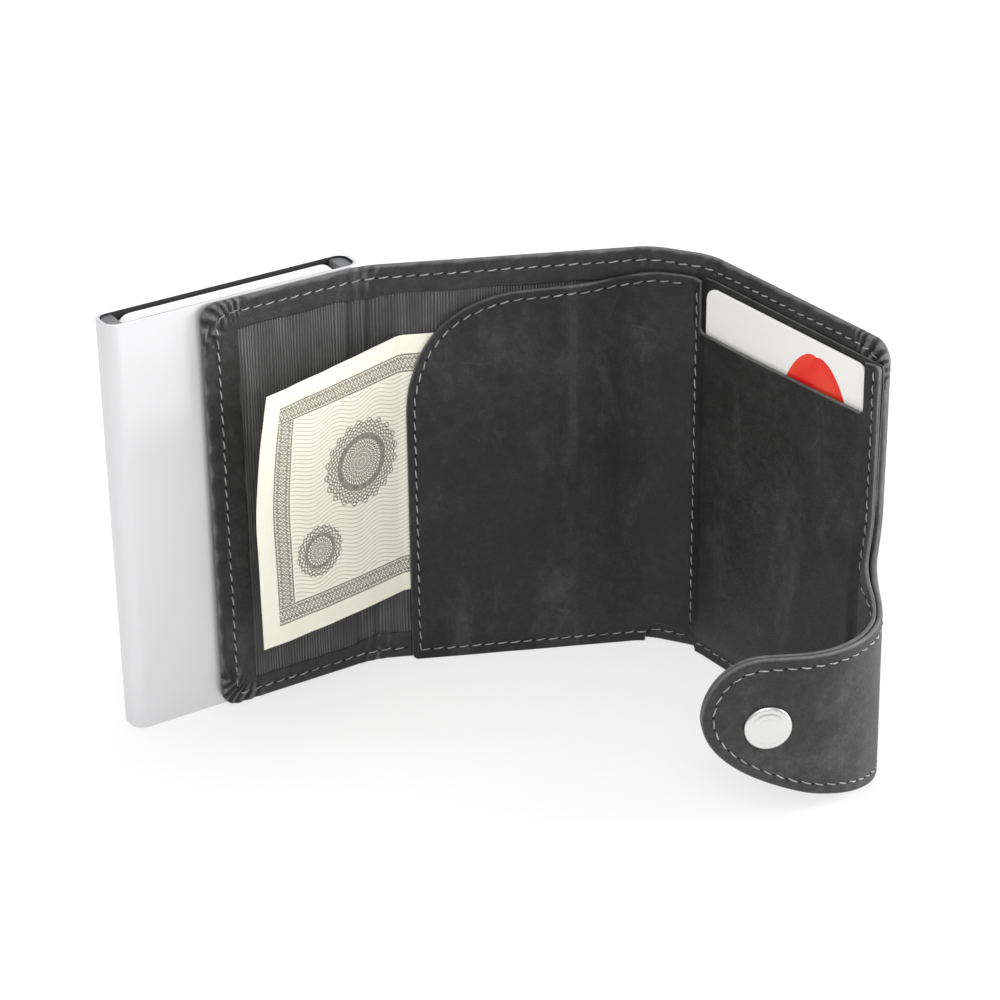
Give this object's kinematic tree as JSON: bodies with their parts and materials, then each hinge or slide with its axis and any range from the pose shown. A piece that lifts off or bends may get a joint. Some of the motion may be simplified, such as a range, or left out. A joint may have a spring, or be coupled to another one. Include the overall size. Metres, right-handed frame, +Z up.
{
  "type": "card case wallet",
  "caption": "Trifold leather wallet with a banknote compartment, card pocket, snap strap and an aluminium card case with an eject lever.",
  "frame": {"origin": "middle of the wallet's footprint at rest, on the surface it stands on", "axes": "+Z up; +X along the card case and left panel, from the case's free edge to the left fold; +Y towards the back of the card case"},
  "size_m": [0.1374, 0.1272, 0.1025],
  "materials": {
    "shell_leather": "waxed, slightly worn, dark charcoal",
    "strap_leather": "waxed, rubbed lighter, charcoal",
    "inner_leather": "waxed, scuffed, dark charcoal",
    "lining_cloth": "ribbed black cloth",
    "case_aluminium": "satin anodised",
    "snap_metal": "polished with light scratches",
    "case_plastic": "fine matte, dark grey",
    "felt_cloth": "soft grey felt",
    "spring_steel": "brushed",
    "pad_adhesive": "matte adhesive pad",
    "card_plastic": null,
    "note_paper": null
  },
  "bodies": {
    "left_panel_and_case": {"shell_panel_left": "shell_leather", "shell_fold_left": "shell_leather", "lining_left": "lining_cloth", "banknote": "note_paper", "case_tube": "case_aluminium", "case_base": "case_plastic", "case_guide_left": "case_plastic", "case_guide_right": "case_plastic", "case_felt": "felt_cloth", "case_spring": "spring_steel", "adhesive_pad": "pad_adhesive", "lever_pin": "spring_steel"},
    "middle_panel": {"shell_panel_middle": "shell_leather", "shell_fold_spine": "shell_leather", "lining_middle": "lining_cloth", "inner_leather_middle": "inner_leather", "snap_stud": "snap_metal", "snap_post": "snap_metal"},
    "spine": {"shell_panel_spine": "shell_leather", "shell_fold_right": "shell_leather", "inner_leather_spine": "inner_leather"},
    "right_panel": {"shell_panel_right": "shell_leather", "strap_fold_root": "strap_leather", "pocket_backing": "inner_leather", "pocket_front": "inner_leather", "pocket_side": "inner_leather"},
    "pocket_card": {"pocket_card": "card_plastic"},
    "strap_neck": {"strap_neck_leather": "strap_leather", "strap_neck_lining": "strap_leather", "strap_fold_tip": "strap_leather"},
    "strap_tip": {"strap_tip_leather": "strap_leather", "strap_tip_lining": "strap_leather", "snap_cap": "snap_metal", "snap_socket": "snap_metal"},
    "eject_lever": {"eject_lever": "case_plastic"},
    "case_card_1": {"case_card_1": "card_plastic"},
    "case_card_2": {"case_card_2": "card_plastic"},
    "case_card_3": {"case_card_3": "card_plastic"},
    "case_card_4": {"case_card_4": "card_plastic"}
  },
  "joints": [
    {"name": "fold_left", "type": "hinge", "parent": "left_panel_and_case", "child": "middle_panel", "pos_m": [-0.00641, 0.05197, 0], "axis": [0, 0, -1], "range_deg": [-23.6, 156.4], "deforming": ["shell_fold_left", "banknote"]},
    {"name": "fold_spine", "type": "hinge", "parent": "middle_panel", "child": "spine", "pos_m": [0.05327, 0.02546, 0], "axis": [0, 0, -1], "range_deg": [-31.3, 58.7], "deforming": ["shell_fold_spine"]},
    {"name": "fold_right", "type": "hinge", "parent": "spine", "child": "right_panel", "pos_m": [0.06075, 0.01483, 0], "axis": [0, 0, -1], "range_deg": [-31.3, 58.7], "deforming": ["shell_fold_right"]},
    {"name": "fold_strap_root", "type": "hinge", "parent": "right_panel", "child": "strap_neck", "pos_m": [0.06561, -0.04929, 0], "axis": [0, 0, -1], "range_deg": [-60, 10], "deforming": ["strap_fold_root"]},
    {"name": "fold_strap_tip", "type": "hinge", "parent": "strap_neck", "child": "strap_tip", "pos_m": [0.0489, -0.06047, 0], "axis": [0, 0, -1], "range_deg": [-60, 50], "deforming": ["strap_fold_tip"]},
    {"name": "pocket_card_slide", "type": "slide", "parent": "right_panel", "child": "pocket_card", "axis": [0, 0, -1], "range_m": [-0.045, 0]},
    {"name": "eject_lever_turn", "type": "hinge", "parent": "left_panel_and_case", "child": "eject_lever", "pos_m": [-0.01351, 0.05947, 0.0055], "axis": [0, -1, 0], "range_deg": [-16, 0]},
    {"name": "case_card_1_slide", "type": "slide", "parent": "left_panel_and_case", "child": "case_card_1", "axis": [0, 0, -1], "range_m": [-0.0123, 0]},
    {"name": "case_card_2_slide", "type": "slide", "parent": "left_panel_and_case", "child": "case_card_2", "axis": [0, 0, -1], "range_m": [-0.01034, 0]},
    {"name": "case_card_3_slide", "type": "slide", "parent": "left_panel_and_case", "child": "case_card_3", "axis": [0, 0, -1], "range_m": [-0.00839, 0]},
    {"name": "case_card_4_slide", "type": "slide", "parent": "left_panel_and_case", "child": "case_card_4", "axis": [0, 0, -1], "range_m": [-0.00643, 0]}
  ],
  "couplings": [
    {"joint": "case_card_1_slide", "follows": "eject_lever_turn", "m_per_rad": 0.044},
    {"joint": "case_card_2_slide", "follows": "eject_lever_turn", "m_per_rad": 0.037},
    {"joint": "case_card_3_slide", "follows": "eject_lever_turn", "m_per_rad": 0.03},
    {"joint": "case_card_4_slide", "follows": "eject_lever_turn", "m_per_rad": 0.023}
  ]
}
